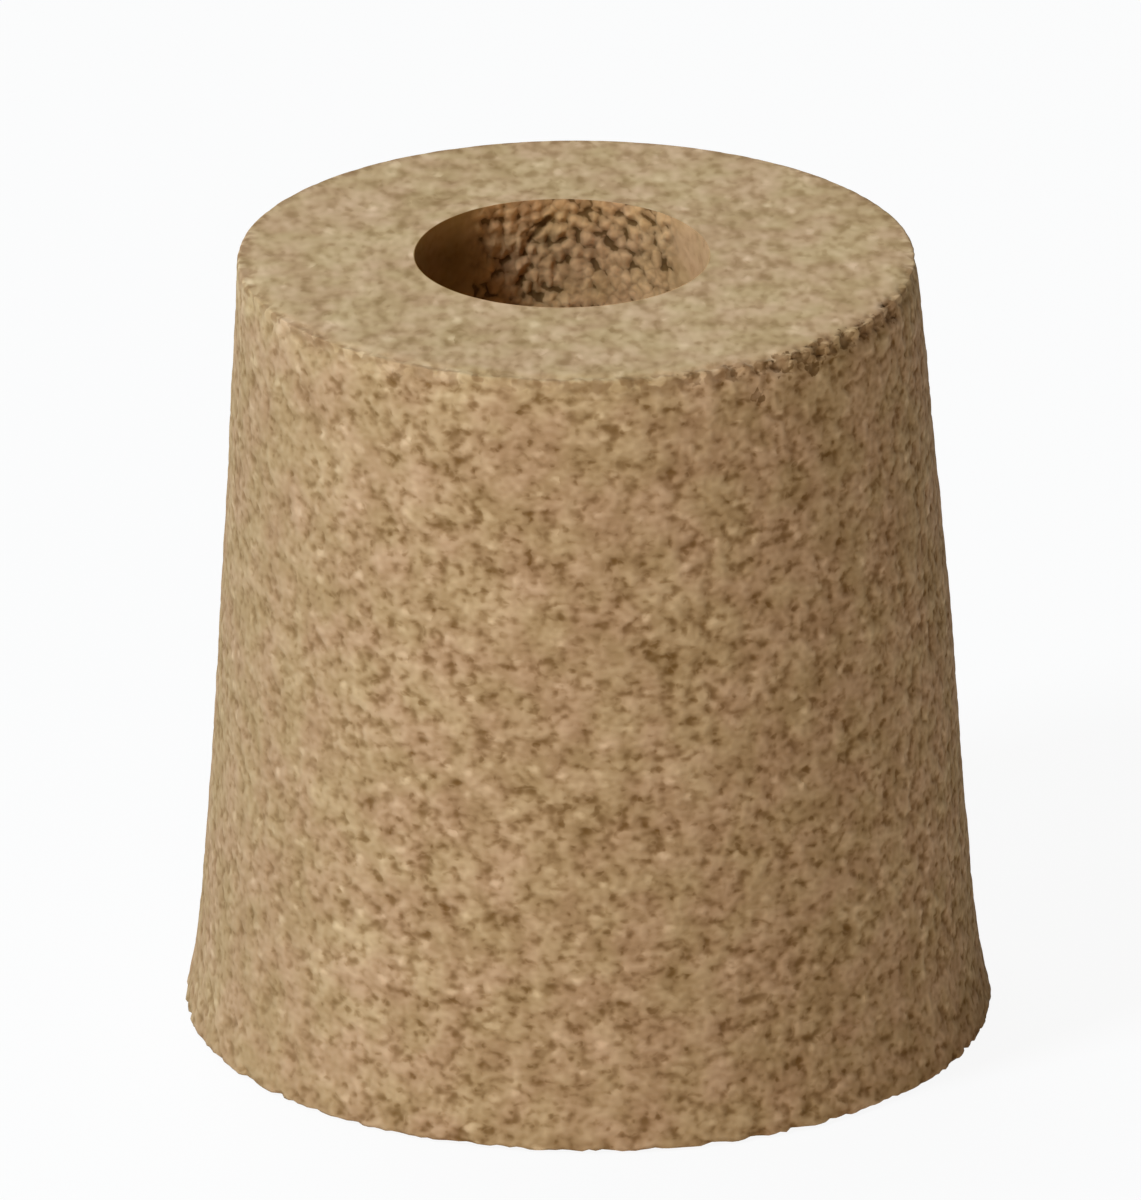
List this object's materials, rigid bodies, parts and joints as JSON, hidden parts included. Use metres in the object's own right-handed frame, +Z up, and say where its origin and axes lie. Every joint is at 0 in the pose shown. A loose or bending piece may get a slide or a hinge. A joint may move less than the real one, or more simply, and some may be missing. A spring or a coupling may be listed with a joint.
{
  "type": "bored cork stopper",
  "caption": "Tapered stopper of agglomerated cork with a flared foot and a straight hole through it for an airlock or tube.",
  "frame": {"origin": "centre of the wide face, on the surface that the stopper stands on", "axes": "+Z up along the bore, square to both faces; +X towards the crumbled side of the narrow rim; the taper's own axis leans 0.9 degrees towards -X"},
  "size_m": [0.0331, 0.0332, 0.0325],
  "materials": {
    "cork": "matte agglomerated cork"
  },
  "bodies": {
    "root": {"cork_stopper": "cork"}
  },
  "joints": []
}
